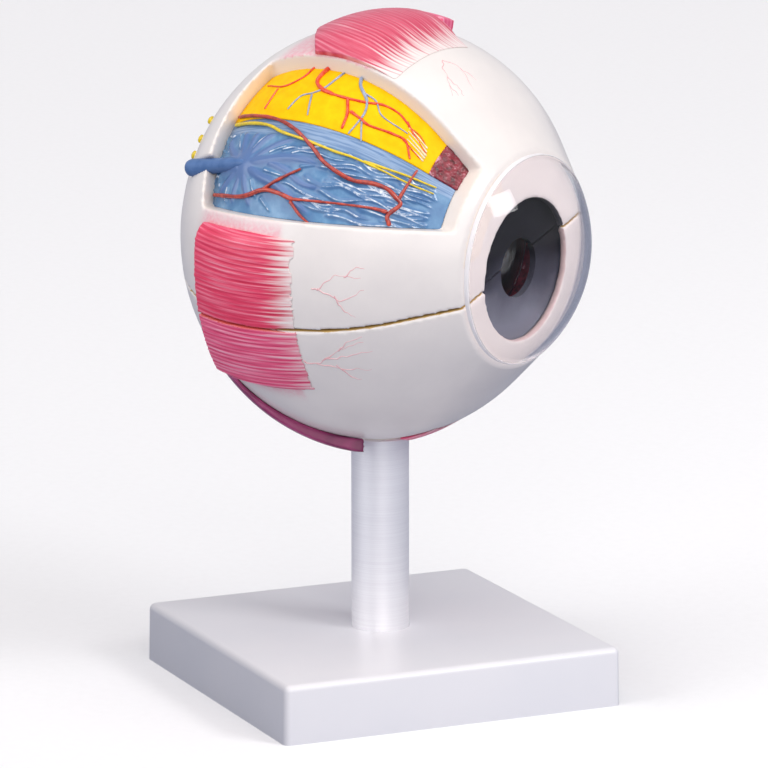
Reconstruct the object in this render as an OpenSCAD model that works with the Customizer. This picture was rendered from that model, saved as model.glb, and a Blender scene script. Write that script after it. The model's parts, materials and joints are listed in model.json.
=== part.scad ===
// Eye anatomy model: a right eyeball at five times life size that comes apart in layers,
// on a rod and a square base. Origin at the middle of the base's underside, +Z up.
//
// The eyeball is drawn in its own frame and placed by at_eye(): there +X is the optical axis,
// +Z is the direction in which the halves lift off, -Y is the temporal side and +Y the nasal side.
// Every shell is the same body of revolution about X, drawn at another depth below the surface.

/* [Stand] */
// Side of the square base
base_side = 110; // [100:1:130]
// Height of the base
base_h = 18; // [16:1:24]
// Rounding of the base's top edges and upright corners
base_round = 2; // [1:0.5:4]
// Diameter of the rod
rod_d = 17.6; // [16:0.2:20]
// How far the rod is let into the base
rod_seat = 5; // [3:1:7]
// Height of the eyeball's centre above the table
eye_z = 140.6; // [138:0.2:150]

/* [Set of the eyeball on the rod] */
// Turn of the optical axis from the base's +X side
eye_turn = 30; // [0:1:90]
// Droop of the optical axis below level
eye_droop = 3; // [0:0.5:6]
// Roll of the parting plane about the optical axis, temporal side down
eye_roll = 18; // [12:0.5:20]

/* [Globe] */
// Radius of the globe's profile arc
arc_r = 55.3; // [54:0.1:57]
// Distance of that arc's centre from the optical axis
arc_out = 7.7; // [6:0.1:9]
// How far the flat land under the cornea lies behind the arc's foremost point
land_back = 2.1; // [1.6:0.1:2.6]
// Wall thickness of the sclera
sclera_t = 7; // [6.5:0.1:7.5]
// Thickness of the sclera's front lip round the opening
lip_t = 2.6; // [2:0.1:3]
// Radius of the opening in front
opening_r = 21.2; // [20:0.1:21.6]
// How far the opening lies below the optical axis
opening_drop = 3.5; // [2:0.5:3.5]
// Gap between the two halves at the parting plane
parting_gap = 0.7; // [0.4:0.1:1]
// Free gap between one layer and the next
layer_gap = 0.4; // [0.3:0.05:0.5]

/* [Window in the upper half] */
// Depth of the window down to the blue choroid
window_depth = 5; // [4.6:0.1:5.5]
// How far the yellow retina in the window stands above the choroid
retina_rise = 0.4; // [0.2:0.1:0.8]
// Distance of the window's top wall from the middle plane
window_top_y = 8.5; // [8:0.5:11]
// Rearward position of the window's back wall
window_back_x = 28.5; // [26:0.5:29]
// Width of the rim left between the window and the land under the cornea
window_front_rim = 2.7; // [2.2:0.1:3.5]
// Angle of the border between choroid and retina round the optical axis
border_angle = 60.5; // [58:0.5:64]
// Length of the ciliary patch, from its rear edge forward to the land
ciliary_len = 15; // [13.5:0.5:16]

/* [Cornea] */
// Outer radius of the clear dome
dome_r = 44.4; // [43.5:0.1:45.5]
// Wall thickness of the clear dome
dome_t = 2; // [1.5:0.1:2.5]
// Width of the land that shows outside the dome's rim
dome_ledge = 1; // [0.6:0.1:1.6]
// Height of the dome's rim edge
dome_edge = 1.4; // [1:0.1:2]

/* [Layers inside] */
// Wall thickness of the choroid halves
choroid_t = 3; // [2.5:0.1:3.2]
// Thickness of the retina lining
retina_t = 1.2; // [1:0.1:1.4]
// Radius of the pupil
pupil_r = 9; // [7:0.5:12]
// Thickness of the iris
iris_t = 2; // [1.5:0.1:2.4]
// Radius of the lens at its rim
lens_r = 22.4; // [22:0.1:22.6]

/* [Muscles] */
// How far a straight muscle stands above the globe where it is thickest
muscle_h = 4.4; // [3:0.2:5]
// Height of the superior oblique muscle
oblique_h = 4.2; // [3:0.2:4.6]

/* [Fits] */
// Radial clearance of a part that turns on another
running_fit = 0.05; // [0.02:0.01:0.1]
// Radial clearance of a peg in its hole
peg_fit = 0.15; // [0.1:0.01:0.25]
// Axial clearance between the turning eyeball and its screw and washer
axial_fit = 0.1; // [0.05:0.01:0.2]

/* [Hidden] */
$fn = 96;

far = 200;                      // longer than anything here
over = 1;                       // how far a cutter reaches past what it cuts
open_front = 60;                // forward end of an outline that nothing closes in front
upper = 1;                      // the half above the parting plane
lower = -1;                     // the half below it
half_gap = parting_gap / 2;
land_relief = 0.2;              // the lower half's land stays clear of the sliding cornea
cone_bite = 0.1;                // how far the front cone lies inside the arc's tangent
land_x = arc_r - land_back;     // forward position of the land, and its outer radius
land_r = arc_out + arc_r * sqrt(2) - cone_bite - land_x;

// depth of each layer's faces below the globe's surface
window_floor = window_depth;
retina_floor = window_depth - retina_rise;
sclera_in = sclera_t;
choroid_out = sclera_in + layer_gap;
choroid_in = choroid_out + choroid_t;
retina_in = choroid_in + retina_t;
vitreous_out = retina_in + layer_gap;

// forward ends of the layers
lip_in_x = land_x - lip_t;
iris_gap = 0.5;
iris_front_x = lip_in_x - iris_gap;
iris_back_x = iris_front_x - iris_t;
choroid_front_x = land_x - 12.7;
retina_front_x = land_x - 18.2;
ciliary_back_x = land_x - 18;
vitreous_front_x = land_x - 18.8;

// lens: two spherical faces and a flat rim
lens_front_apex = land_x - 7.2;
lens_back_apex = land_x - 26.2;
lens_front_r = 33;
lens_back_r = 27;
lens_rim_x = land_x - 15.6;
lens_rim_t = 2.4;
groove_gap = 0.4;               // round the lens rim and behind the lens
trough_gap = 0.6;               // the way out above the lens is this much wider
zonule_lip = 2.4;               // how far the ciliary body reaches over the lens rim

// cornea
dome_rim_r = land_r - dome_ledge;
dome_x = land_x + dome_edge - sqrt(dome_r * dome_r - dome_rim_r * dome_rim_r);

// seat of the eyeball on the rod
seat_flat = 1;                  // depth of the flat spot under the eyeball
seat_z = eye_z - arc_r - arc_out + seat_flat;
washer_t = 0.8;
rod_top = seat_z - washer_t - axial_fit;
rod_z0 = base_h - rod_seat;
bush_d = 15;
bush_h = 5.5;
pivot_d = 6;
pivot_head_d = 11.6;
pivot_head_h = 3;
pivot_len = 20;
pivot_hole_spare = 2;           // thread left under the pivot screw's end
pivot_hex_d = 4.6;              // across the corners
pivot_hex_depth = 2.1;
rod_dish_d = rod_d + 1.4;       // flat spot under the eyeball
bush_access_h = 12;             // the bush's hole runs on into the hollow globe
base_bolt_d = 8;
base_bolt_head_d = 13;
base_bolt_head_h = 5;
base_bolt_hex_d = 6.9;          // across the corners
base_bolt_hex_depth = 3;
base_bolt_grip = 22;            // how far the bolt reaches up into the rod
base_pocket_d = 19;
base_pocket_h = 8.5;
pad_inset = 4;                  // width of the base's rim round the felt pad
pad_h = 1;
base_washer_d = 16;
base_washer_t = 1.6;
thread_play = 0.05;             // radial gap that stands for a thread
bolt_play = 0.5;                // radial gap round a bolt in a plain hole
washer_play = 0.4;              // the same in a washer
base_draft = 0.25;              // how much each side leans in towards the top
base_foot_h = 0.5;              // upright edge at the foot of the base's corners
rod_fit = 0.1;                  // gap round the rod and the pad in the base
round_steps = 32;               // steps in a full turn of a hull's children

// window: lean and tilt of the lower wall and its height on the optical axis, turn of the top wall,
// lean of the front wall, and the back wall's hollow curve, whose axis lies at an angle round the eye
window_low_lean = 23;
window_low_tilt = 2.6;
window_low_z = 8.3;
window_top_turn = 1.5;
window_front_lean = 12;
window_front_r = land_r + window_front_rim;
window_back_r = 75;
window_back_angle = 55;
window_back_foot = 10;          // its cutter starts this far from the optical axis
ciliary_x = land_x - ciliary_len;
ciliary_rise = 0.6;             // how far the ciliary patch stands above the choroid's level

// vein that leaves the choroid through a notch in the window's back wall: both ends as [angle along
// the arc, angle round the axis], the far end's height above the globe, and its radii
vein_foot_angles = [107, 45.2];
vein_tip_angles = [134, 41.5];
vein_tip_rise = 1.5;
vein_foot_r = 1.2;
vein_neck_r = 2.3;
vein_tip_r = 2.9;
vein_taper = 8;                 // length over which it widens from the foot
vein_notch_h = 9;               // how far the notch reaches out from the vein's middle

// cords on the window's floor, each a run of [angle along the arc, angle round the axis]
artery_d = 1.5;
nerve_cord_d = 1.4;
cord_gap = 0.15;                // between a cord and the retina
cord_sides = 8;
long_artery_angles = [[121, 62], [110, 61], [99, 60], [91, 58], [86, 56], [80, 53], [75, 50],
  [69, 48], [63, 47], [57, 48], [52, 48], [48, 46], [46, 44], [49, 39], [48, 36]];
short_artery_angles = [[119, 34], [103, 35], [94, 38], [88, 38], [82, 37], [72, 38], [63, 39],
  [54, 40], [50, 40]];
long_nerve_angles = [[121, 59], [103, 58], [94, 56], [84, 55], [73, 54], [66, 54], [56, 54],
  [49, 54], [43, 55], [37, 56]];

// cut ends of the short ciliary nerves, near the back of the globe
stub_angles = [[139, 64], [141, 56], [142, 49]];
stub_d = 2.6;
stub_end_r = 1.9;               // radius of the rounded end
stub_h = 1.1;                   // how far a stub stands on the globe

// optic nerve: nasal offset, radius, bore for its core, and where it is cut off
nerve_y = 14;
nerve_r = 10;
nerve_core_r = 4;
nerve_end_x = -arc_r - 12.7;
nerve_len = 30;                 // from its cut end into the globe

// pegs of the parting plane: [forward position, side of the globe]
peg_d = 3.2;
peg_len = 4;
peg_depth = 6;
peg_places = [[-30, 1], [-30, -1], [30, 1]];

// straight muscles: rear and front end along the arc, and both edges round the optical axis
superior_rectus_angles = [114, 62, 82, 119];
lateral_rectus_angles = [112, 71, -21, 26];
medial_rectus_angles = [112, 62, 156, 202];
inferior_rectus_angles = [112, 56, 252, 292];
muscle_spare_angle = 5;         // a muscle that thins out stops this many degrees before its edge
superior_rectus_corner = [-6.7, -8.6];  // its rear end is cut at a slant that passes here
superior_rectus_cut_angle = 32.6;

// oblique muscles: turns of the strap about X, Y and Z, its forward span, and its ends round the
// axis; the inferior one grows thicker to one side because its outer face is shifted
superior_oblique_angles = [-32, 0, 12];
superior_oblique_x = [-16, 10];
superior_oblique_side = [-10, 4];
superior_oblique_end_angle = 119;
inferior_oblique_angles = [0, -29.8, -35];
inferior_oblique_x = [-15.5, -2.4];
inferior_oblique_end_angles = [-21, -57];
inferior_oblique_h = 2.4;
inferior_oblique_shift = [3, 1, -2.5];
rod_room_gap = 2.5;             // room round the rod under the muscles
rod_room_h = 50;

// cutters along the optical axis start here
front_cut_x = 40;
back_cut_x = -80;

// ---- frame of the eyeball ----
module at_eye() translate([0, 0, eye_z]) rotate([eye_roll, eye_droop, eye_turn]) children();

// turns a body of revolution about Z into one about the optical axis
module about_axis() rotate([0, 90, 0]) children();

// outline of one layer: x is the distance from the optical axis, y runs forward; the arc passes
// into a straight cone at 45 degrees, which all layers share whatever their front end
module outline(depth, front_x) {
  r = arc_r - depth;
  cone = r * sqrt(2) - cone_bite;
  intersection() {
    union() {
      translate([arc_out, 0]) circle(r = r);
      translate([0, -r]) square([arc_out, 2 * r]);
      polygon([[0, 0], [arc_out + cone / 2, cone / 2], [arc_out + cone - front_x, front_x],
        [0, front_x]]);
    }
    translate([0, -far]) square([far, far + front_x]);
  }
}

// solid globe down to one depth, flat in front
module globe(depth, front_x) about_axis() rotate_extrude() outline(depth, front_x);

// keeps what lies on one side of the parting plane
module half(side, gap = half_gap) {
  intersection() {
    children();
    translate([-far / 2, -far / 2, side > 0 ? gap : -far - gap]) cube(far);
  }
}

// shell between two depths
module shell(out, out_front, in, in_front) {
  about_axis() rotate_extrude() difference() {
    outline(out, out_front);
    outline(in, in_front);
  }
}

// ---- stand ----
module base() {
  corner = base_side / 2 - base_round;
  color("white") difference() {
    hull() for (x = [-1, 1], y = [-1, 1]) {
      translate([x * corner, y * corner, 0])
        cylinder(r = base_round, h = base_foot_h, $fn = round_steps);
      translate([x * (corner - base_draft), y * (corner - base_draft), base_h - base_round])
        sphere(r = base_round, $fn = round_steps);
    }
    translate([0, 0, rod_z0]) cylinder(d = rod_d + 2 * rod_fit, h = base_h);
    translate([0, 0, -over]) cylinder(d = base_bolt_d + 2 * bolt_play, h = base_h);
    translate([0, 0, -over]) cylinder(d = base_pocket_d, h = over + base_pocket_h);
    translate([0, 0, -over]) pad_form(0, over + pad_h);
  }
}

// the felt pad lies in a recess and covers the bolt
module pad_form(gap, height) {
  side = base_side - 2 * (pad_inset + gap);
  linear_extrude(height) square(side, center = true);
}

module base_pad() color("darkgreen") pad_form(rod_fit, pad_h);

module rod() {
  color("silver") difference() {
    translate([0, 0, rod_z0]) cylinder(d = rod_d, h = rod_top - rod_z0);
    translate([0, 0, rod_z0 - over])
      cylinder(d = base_bolt_d + 2 * thread_play, h = base_bolt_grip + 2 * over);
    translate([0, 0, rod_top - pivot_len])
      cylinder(d = pivot_d + 2 * thread_play, h = pivot_len + over);
  }
}

module base_washer() {
  color("gray") translate([0, 0, base_pocket_h - base_washer_t]) difference() {
    cylinder(d = base_washer_d, h = base_washer_t);
    translate([0, 0, -over])
      cylinder(d = base_bolt_d + 2 * washer_play, h = base_washer_t + 2 * over);
  }
}

module base_screw() {
  head_z = base_pocket_h - base_washer_t - base_bolt_head_h;
  color("dimgray") difference() {
    union() {
      translate([0, 0, head_z]) cylinder(d = base_bolt_head_d, h = base_bolt_head_h);
      translate([0, 0, head_z + over])
        cylinder(d = base_bolt_d, h = rod_z0 + base_bolt_grip - head_z - over);
    }
    translate([0, 0, head_z - over])
      cylinder(d = base_bolt_hex_d, h = base_bolt_hex_depth + over, $fn = 6);
  }
}

module thrust_washer() {
  color("ivory") translate([0, 0, rod_top]) difference() {
    cylinder(d = rod_d - 2 * washer_play, h = washer_t);
    translate([0, 0, -over]) cylinder(d = pivot_d + washer_play, h = washer_t + 2 * over);
  }
}

// countersunk head and shank, or the space for them when grown by a clearance
module pivot_form(grow, head_grow) {
  top = seat_z + bush_h - axial_fit;
  translate([0, 0, top - pivot_head_h - head_grow])
    cylinder(d1 = pivot_d, d2 = pivot_head_d, h = pivot_head_h);
  foot = rod_top - pivot_len + pivot_hole_spare;
  translate([0, 0, foot]) cylinder(d = pivot_d + 2 * grow, h = top - foot - over);
}

module pivot_screw() {
  color("dimgray") difference() {
    pivot_form(0, 0);
    translate([0, 0, seat_z + bush_h - axial_fit - pivot_hex_depth])
      cylinder(d = pivot_hex_d, h = pivot_hex_depth + over, $fn = 6);
  }
}

// ---- sclera ----
module nerve_bore() {
  translate([back_cut_x, nerve_y, 0]) about_axis() cylinder(r = nerve_core_r, h = -back_cut_x);
}

module sclera(side) {
  difference() {
    half(side) shell(0, side > 0 ? land_x : land_x - land_relief, sclera_in, lip_in_x);
    translate([front_cut_x, 0, -opening_drop]) about_axis() cylinder(r = opening_r, h = open_front);
    nerve_bore();
  }
}

module sclera_lower() {
  color("gainsboro") difference() {
    at_eye() sclera(lower);
    translate([0, 0, seat_z - rod_d]) cylinder(d = rod_dish_d, h = rod_d);
    translate([0, 0, seat_z - over]) cylinder(d = bush_d, h = bush_h + bush_access_h);
  }
}

module pivot_bush() {
  color("goldenrod") difference() {
    translate([0, 0, seat_z]) cylinder(d = bush_d, h = bush_h);
    pivot_form(running_fit, axial_fit);
    translate([0, 0, seat_z + bush_h - 2 * axial_fit]) cylinder(d = pivot_head_d, h = bush_h);
  }
}

module pegs(grow, length) {
  middle = arc_r - sclera_t / 2;
  for (p = peg_places) {
    y = arc_out + sqrt(middle * middle - p[0] * p[0]);
    translate([p[0], p[1] * y, -half_gap]) cylinder(d = peg_d + 2 * grow, h = length + parting_gap);
  }
}

module parting_pegs() color("silver") at_eye() pegs(0, peg_len);

module sclera_upper() {
  color("antiquewhite") at_eye() difference() {
    sclera(upper);
    window_space();
    vein_form();
    vein_notch();
    pegs(peg_fit, peg_depth);
  }
}

// ---- window ----
// the space above a given depth within the window's walls
module window_space() {
  front_x = arc_out + arc_r * sqrt(2) - window_front_r;
  function front_r(x) = window_front_r + (x - front_x) * tan(window_front_lean);
  intersection() {
    about_axis() rotate_extrude() difference() {
      polygon([[front_r(-far / 2), -far / 2], [far, -far / 2], [far, far / 2],
        [front_r(far / 2), far / 2]]);
      outline(sclera_in + over, open_front);
    }
    rotate([0, 0, -window_top_turn]) translate([-far / 2, -far - window_top_y, 0]) cube(far);
    translate([0, 0, window_low_z]) rotate([-window_low_lean, -window_low_tilt, 0])
      translate([-far / 2, -far, 0]) cube(far);
    rotate([90 - window_back_angle, 0, 0])
      translate([window_back_r - window_back_x, 0, window_back_foot])
        cylinder(r = window_back_r, h = far / 2);
  }
}

// the part of the window above or below the border between choroid and retina
module border(side) {
  intersection() {
    children();
    rotate([-border_angle, 0, 0]) translate([-far / 2, -far / 2, side > 0 ? 0 : -far]) cube(far);
  }
}

module window_layer(depth) {
  intersection() {
    window_space();
    shell(depth, open_front, sclera_in, open_front);
  }
}

module choroid_window() color("steelblue") at_eye() border(-1) window_layer(window_floor);

module retina_window() {
  color("gold") at_eye() difference() {
    border(1) window_layer(retina_floor);
    translate([ciliary_x, -far / 2, 0]) cube(far);
  }
}

module ciliary_window() {
  color("maroon") at_eye() intersection() {
    border(1) window_layer(window_floor - ciliary_rise);
    translate([ciliary_x, -far / 2, 0]) cube(far);
  }
}

// rod along +Z whose far end is rounded to a radius no smaller than its own
module round_ended(d, length, end_r) {
  rotate_extrude() intersection() {
    square([d / 2, length]);
    translate([0, length - end_r]) union() {
      circle(r = end_r);
      translate([0, -far]) square([far, far]);
    }
  }
}

// places children with +Z along a line and +X as far outward as can be
module along_line(foot, tip) {
  z = unit(tip - foot);
  y = unit(cross(z, [0, foot[1], foot[2]]));
  x = cross(y, z);
  multmatrix([[x[0], y[0], z[0], foot[0]], [x[1], y[1], z[1], foot[1]], [x[2], y[2], z[2], foot[2]]])
    children();
}

// vein that leaves the choroid over the window's back wall, with a blunt round tip
vein_foot = on_globe(vein_foot_angles, window_floor);
vein_tip = on_globe(vein_tip_angles, -vein_tip_rise);

module vein_form() {
  length = norm(vein_tip - vein_foot);
  along_line(vein_foot, vein_tip) rotate_extrude() intersection() {
    union() {
      polygon([[0, 0], [vein_foot_r, 0], [vein_neck_r, vein_taper], [vein_neck_r, length],
        [0, length]]);
      translate([0, length]) circle(r = vein_tip_r);
    }
    translate([0, -far / 2]) square(far);
  }
}

module vein_notch() along_line(vein_foot, vein_tip) translate([0, -vein_neck_r, 0])
  cube([vein_notch_h, 2 * vein_neck_r, norm(vein_tip - vein_foot)]);

module vortex_vein() {
  color("royalblue") at_eye() difference() {
    vein_form();
    globe(window_floor, open_front);
  }
}

// ---- cords that lie on the window's floor ----
function on_globe(p, depth) = let (reach = (arc_r - depth) / cos(max(0, 45 - p[0])),
    off = arc_out + reach * sin(p[0]))
  [reach * cos(p[0]), -off * cos(p[1]), off * sin(p[1])];

function finer(points, steps) = [for (i = [0 : len(points) - 2], k = [0 : steps - 1])
  points[i] + (points[i + 1] - points[i]) * k / steps, points[len(points) - 1]];

function unit(v) = v / norm(v);

// tube swept along points on the window's floor
module floor_cord(points, d) {
  sides = cord_sides;
  depth = retina_floor - d / 2 - cord_gap;
  path = [for (p = finer(points, 2)) on_globe(p, depth)];
  last = len(path) - 1;
  rings = [for (i = [0 : last]) let (
      along = unit(path[min(i + 1, last)] - path[max(i - 1, 0)]),
      out = unit(path[i]),
      across = unit(cross(along, out)),
      up = cross(across, along))
    [for (k = [0 : sides - 1]) let (turn = k * 360 / sides)
      path[i] + d / 2 * (cos(turn) * across + sin(turn) * up)]];
  polyhedron([for (ring = rings) each ring], [
    [for (k = [0 : sides - 1]) k],
    for (i = [0 : last - 1], k = [0 : sides - 1])
      let (a = i * sides, b = a + sides, next = (k + 1) % sides)
      [a + k, b + k, b + next, a + next],
    [for (k = [sides - 1 : -1 : 0]) last * sides + k]]);
}

module long_ciliary_artery() color("firebrick") at_eye() floor_cord(long_artery_angles, artery_d);
module short_ciliary_artery() color("firebrick") at_eye() floor_cord(short_artery_angles, artery_d);
module long_ciliary_nerve() color("yellow") at_eye() floor_cord(long_nerve_angles, nerve_cord_d);

module ciliary_nerve_stubs() {
  color("gold") at_eye() for (p = stub_angles)
    along_line(on_globe(p, 0), on_globe(p, -stub_h)) round_ended(stub_d, stub_h, stub_end_r);
}

// ---- cornea ----
module cornea() {
  color("lightcyan", 0.4) at_eye() intersection() {
    translate([dome_x, 0, 0]) difference() {
      sphere(r = dome_r);
      sphere(r = dome_r - dome_t);
    }
    translate([land_x, 0, 0]) about_axis() cylinder(r = dome_rim_r, h = dome_r);
  }
}

// ---- muscles ----
// straight muscle: thick at its cut rear end and thin at its front end, or domed in between
module straight_muscle(angles, domed = false) {
  back = angles[0];
  front = angles[1];
  half_span = (back - front) / 2;
  rise = arc_r * (1 - cos(half_span)) + muscle_h;
  dome_muscle_r = (pow(arc_r * sin(half_span), 2) + rise * rise) / (2 * rise);
  r = domed ? dome_muscle_r : arc_r;
  shift = domed ? arc_r + muscle_h - r : muscle_h / sin(back - front);
  aim = domed ? (back + front) / 2 : front + 90;
  rear_edge = domed ? back - muscle_spare_angle : back;
  front_edge = front + muscle_spare_angle;
  reach = 2 * (arc_r + muscle_h);
  rotate([180 - angles[3], 0, 0]) about_axis() rotate([0, 0, 90])
    rotate_extrude(angle = angles[3] - angles[2]) difference() {
      intersection() {
        translate([arc_out + shift * sin(aim), shift * cos(aim)]) circle(r = r);
        translate([arc_out, 0]) polygon([[0, 0], reach * [sin(rear_edge), cos(rear_edge)],
          [reach, 0], reach * [sin(front_edge), cos(front_edge)]]);
      }
      translate([arc_out, 0]) circle(r = arc_r);
    }
}

// room round the rod under the eyeball
module rod_room() translate([0, 0, seat_z - rod_room_h])
  cylinder(d = rod_d + 2 * rod_room_gap, h = 2 * rod_room_h);

module superior_rectus() {
  color("palevioletred") at_eye() intersection() {
    straight_muscle(superior_rectus_angles, domed = true);
    translate(superior_rectus_corner) rotate([0, 0, superior_rectus_cut_angle])
      translate([0, -far / 2, 0]) cube(far);
  }
}

module lateral_rectus(side) {
  color("palevioletred") at_eye() half(side) straight_muscle(lateral_rectus_angles);
}
module lateral_rectus_lower() lateral_rectus(lower);
module lateral_rectus_upper() lateral_rectus(upper);

module medial_rectus(side) {
  color("palevioletred") at_eye() half(side) straight_muscle(medial_rectus_angles);
}
module medial_rectus_lower() medial_rectus(lower);
module medial_rectus_upper() medial_rectus(upper);

module inferior_rectus() {
  color("palevioletred") difference() {
    at_eye() straight_muscle(inferior_rectus_angles);
    rod_room();
  }
}

// oblique muscle: a strap that crosses the globe at a slant
module strap(height, shift = [0, 0, 0]) {
  intersection() {
    difference() {
      translate(shift) globe(-height, open_front);
      globe(0, open_front);
    }
    children();
  }
}

// removes what lies past an angle round the optical axis: ahead of it (+1) or behind it (-1)
module cut_at(angle, side) {
  difference() {
    children();
    rotate([-angle, 0, 0]) translate([-far / 2, -far / 2, side > 0 ? 0 : -far]) cube(far);
  }
}

module superior_oblique() {
  t = superior_oblique_angles;
  x = superior_oblique_x;
  y = superior_oblique_side;
  color("mediumvioletred") at_eye() cut_at(superior_oblique_end_angle, -1) strap(oblique_h)
    rotate([t[0], 0, 0]) rotate([0, 0, t[2]]) translate([x[0], y[0], 0])
      cube([x[1] - x[0], y[1] - y[0], far]);
}

module inferior_oblique() {
  x = inferior_oblique_x;
  ends = inferior_oblique_end_angles;
  color("mediumvioletred") at_eye() cut_at(ends[0], 1) cut_at(ends[1], -1)
    strap(inferior_oblique_h, inferior_oblique_shift)
      rotate(inferior_oblique_angles) translate([x[0], -far / 2, -far / 2])
        cube([x[1] - x[0], far, far]);
}

// ---- optic nerve ----
module optic_nerve(side) {
  color("khaki") at_eye() half(side) difference() {
    translate([nerve_end_x, nerve_y, 0]) about_axis() cylinder(r = nerve_r, h = nerve_len);
    globe(0, open_front);
    nerve_bore();
  }
}
module optic_nerve_lower() optic_nerve(lower);
module optic_nerve_upper() optic_nerve(upper);

// ---- choroid halves, with retina, ciliary body and iris ----
module choroid(side) {
  color("brown") at_eye() half(side)
    shell(choroid_out, choroid_front_x, choroid_in, choroid_front_x + over);
}
module retina(side) {
  color("orange") at_eye() half(side)
    shell(choroid_in, retina_front_x, retina_in, retina_front_x + over);
}

// ring with a groove for the lens rim, between choroid and iris
module ciliary_body(side) {
  color("darkslategray") at_eye() half(side) about_axis() rotate_extrude() difference() {
    intersection() {
      outline(choroid_out, iris_back_x);
      translate([lens_r - zonule_lip, ciliary_back_x]) square(far);
    }
    difference() {
      outline(choroid_out - over, choroid_front_x);
      outline(choroid_in, choroid_front_x + over);
    }
    lens_outline(groove_gap);
  }
}
module iris(side) {
  color("slategray") at_eye() half(side) difference() {
    about_axis() rotate_extrude() intersection() {
      outline(choroid_out, iris_front_x);
      translate([0, iris_back_x]) square(far);
    }
    translate([iris_back_x - over, 0, -opening_drop]) about_axis() cylinder(r = pupil_r, h = open_front);
  }
}
module choroid_lower() choroid(lower);
module choroid_upper() choroid(upper);
module retina_lower() retina(lower);
module retina_upper() retina(upper);
module ciliary_body_lower() ciliary_body(lower);
module ciliary_body_upper() ciliary_body(upper);
module iris_lower() iris(lower);
module iris_upper() iris(upper);

// ---- lens and vitreous body ----
// half outline of the lens: x is the distance from the optical axis, y runs forward
module lens_outline(grow) {
  intersection() {
    translate([0, lens_front_apex - lens_front_r]) circle(r = lens_front_r + grow);
    translate([0, lens_back_apex + lens_back_r]) circle(r = lens_back_r + grow);
    translate([0, -far / 2]) square(far);
  }
  translate([0, lens_rim_x - lens_rim_t / 2 - grow]) square([lens_r + grow, lens_rim_t + 2 * grow]);
}

module lens() color("azure", 0.5) at_eye() about_axis() rotate_extrude() lens_outline(0);

module vitreous_body() {
  hollow_r = lens_back_r + groove_gap;
  hollow_x = lens_back_apex + lens_back_r;
  color("aliceblue", 0.5) at_eye() difference() {
    globe(vitreous_out, vitreous_front_x);
    translate([hollow_x, 0, 0]) sphere(r = hollow_r);
    translate([hollow_x, 0, 0]) cylinder(r = hollow_r + trough_gap, h = far);
  }
}

base();
base_pad();
rod();
base_screw();
base_washer();
thrust_washer();
pivot_screw();
sclera_lower();
pivot_bush();
parting_pegs();
lateral_rectus_lower();
medial_rectus_lower();
inferior_rectus();
inferior_oblique();
optic_nerve_lower();
choroid_lower();
retina_lower();
ciliary_body_lower();
iris_lower();
vitreous_body();
lens();
choroid_upper();
retina_upper();
ciliary_body_upper();
iris_upper();
sclera_upper();
cornea();
superior_rectus();
superior_oblique();
lateral_rectus_upper();
medial_rectus_upper();
optic_nerve_upper();
ciliary_nerve_stubs();
choroid_window();
retina_window();
ciliary_window();
vortex_vein();
long_ciliary_artery();
short_ciliary_artery();
long_ciliary_nerve();
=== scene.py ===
import bpy, bmesh, json, math
from functools import partial
import numpy as np
from mathutils import Matrix, Vector, noise

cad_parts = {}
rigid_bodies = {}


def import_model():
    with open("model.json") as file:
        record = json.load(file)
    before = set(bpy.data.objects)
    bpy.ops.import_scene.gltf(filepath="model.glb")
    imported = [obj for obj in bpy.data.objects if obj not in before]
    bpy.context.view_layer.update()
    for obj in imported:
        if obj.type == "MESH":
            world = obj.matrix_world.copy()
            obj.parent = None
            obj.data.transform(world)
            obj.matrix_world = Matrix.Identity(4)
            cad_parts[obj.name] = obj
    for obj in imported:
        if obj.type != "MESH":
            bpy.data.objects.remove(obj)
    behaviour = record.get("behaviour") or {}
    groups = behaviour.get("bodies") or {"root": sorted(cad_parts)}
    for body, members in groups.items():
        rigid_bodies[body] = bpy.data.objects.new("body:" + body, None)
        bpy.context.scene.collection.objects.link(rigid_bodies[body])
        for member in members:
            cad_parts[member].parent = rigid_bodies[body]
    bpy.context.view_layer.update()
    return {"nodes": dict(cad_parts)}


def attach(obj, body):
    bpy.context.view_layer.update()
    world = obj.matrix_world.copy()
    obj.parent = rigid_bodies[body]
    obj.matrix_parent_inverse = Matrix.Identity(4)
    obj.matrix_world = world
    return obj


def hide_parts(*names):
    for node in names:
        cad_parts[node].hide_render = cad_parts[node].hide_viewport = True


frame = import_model()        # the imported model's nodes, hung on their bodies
print("frame loaded:", len(frame["nodes"]), "nodes")

mm = 0.001

# The eyeball has a frame of its own, in millimetres: X is the optical axis, Z the way the halves lift off
# and -Y the temple side. Places on it are given as [angle along the arc, angle round the axis] in degrees.
eyeball = {
    "centre": (0, 0, 140.6),
    "turn": 30, "droop": 3, "roll": 18,   # degrees about Z, Y and X
    "arcRadius": 55.3, "arcOut": 7.7,     # the profile's arc, and how far its centre lies off the axis
    "coneStart": 45,                      # the front of this angle is a straight cone
    "landX": 53.2,                        # the flat land that carries the cornea
}
eyeMatrix = np.array(
    Matrix.Rotation(math.radians(eyeball["turn"]), 3, "Z")
    @ Matrix.Rotation(math.radians(eyeball["droop"]), 3, "Y")
    @ Matrix.Rotation(math.radians(eyeball["roll"]), 3, "X"))
eyeCentre = np.array(eyeball["centre"])


# places on the globe
def toRow(points):  # eyeball millimetres to the shared frame's metres
    return (np.asarray(points, float) @ eyeMatrix.T + eyeCentre) * mm


def toEye(points):
    return (np.asarray(points, float) / mm - eyeCentre) @ eyeMatrix


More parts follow.
